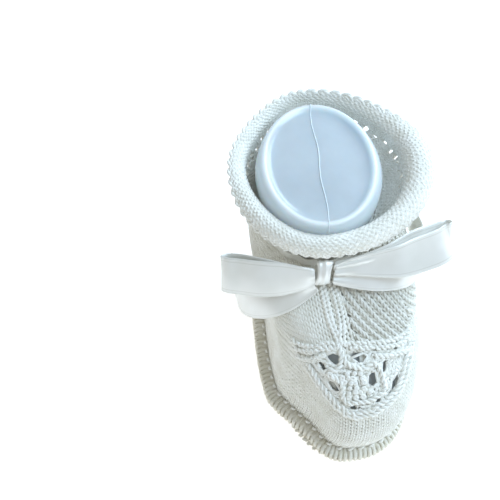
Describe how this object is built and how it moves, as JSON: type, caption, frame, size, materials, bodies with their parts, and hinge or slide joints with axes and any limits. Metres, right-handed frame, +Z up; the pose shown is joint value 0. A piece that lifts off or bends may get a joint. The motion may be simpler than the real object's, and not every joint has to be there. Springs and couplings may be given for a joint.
{
  "type": "knitted baby bootie",
  "caption": "Newborn's knitted lace bootie with a garter sole, flared picot collar, satin ribbon bow and a hollow clear foot form inside.",
  "frame": {"origin": "on the floor, midway along and across the sole", "axes": "toe towards -Y, heel towards +Y, +X to the right seen from the toe's side with +Z up"},
  "size_m": [0.0643, 0.09, 0.0618],
  "materials": {
    "cotton_stockinette": "mercerised cotton, stockinette",
    "cotton_lace": "mercerised cotton, lace and picots",
    "cotton_garter": "mercerised cotton, garter stitch",
    "satin_ribbon": "double-faced satin",
    "clear_vinyl": "thin clear moulded vinyl"
  },
  "bodies": {
    "bootie": {"sole": "cotton_garter", "sole_seam": "cotton_lace", "toe_wall": "cotton_stockinette", "side_wall_left": "cotton_stockinette", "side_wall_right": "cotton_stockinette", "heel_wall": "cotton_stockinette", "back_seam": "cotton_lace", "lace_panel": "cotton_lace", "instep": "cotton_stockinette", "centre_ribs": "cotton_lace", "ankle_beading": "cotton_lace", "collar": "cotton_lace", "picot_edging": "cotton_lace", "ribbon_band": "satin_ribbon", "bow_knot": "satin_ribbon"},
    "foot_form": {"form_foot": "clear_vinyl", "form_ankle": "clear_vinyl", "form_rim": "clear_vinyl", "form_seam": "clear_vinyl"},
    "left_loop": {"loop_left": "satin_ribbon"},
    "right_loop": {"loop_right": "satin_ribbon"},
    "left_tail": {"tail_left": "satin_ribbon"},
    "right_tail": {"tail_right": "satin_ribbon"}
  },
  "joints": [
    {"name": "form_lift", "type": "slide", "parent": "bootie", "child": "foot_form", "axis": [0, 0, 1], "range_m": [0, 0.08], "deforming": ["form_foot"]},
    {"name": "loop_left_swing", "type": "hinge", "parent": "bootie", "child": "left_loop", "pos_m": [-0.0042, -0.0099, 0.0452], "axis": [0, 0, 1], "range_deg": [0, 30]},
    {"name": "loop_right_swing", "type": "hinge", "parent": "bootie", "child": "right_loop", "pos_m": [-0.0042, -0.0099, 0.0452], "axis": [0, 0, -1], "range_deg": [0, 30]},
    {"name": "tail_left_swing", "type": "hinge", "parent": "bootie", "child": "left_tail", "pos_m": [-0.0042, -0.0099, 0.0452], "axis": [0, 0, 1], "range_deg": [0, 25]},
    {"name": "tail_right_swing", "type": "hinge", "parent": "bootie", "child": "right_tail", "pos_m": [-0.0042, -0.0099, 0.0452], "axis": [0, 0, -1], "range_deg": [0, 25]}
  ]
}
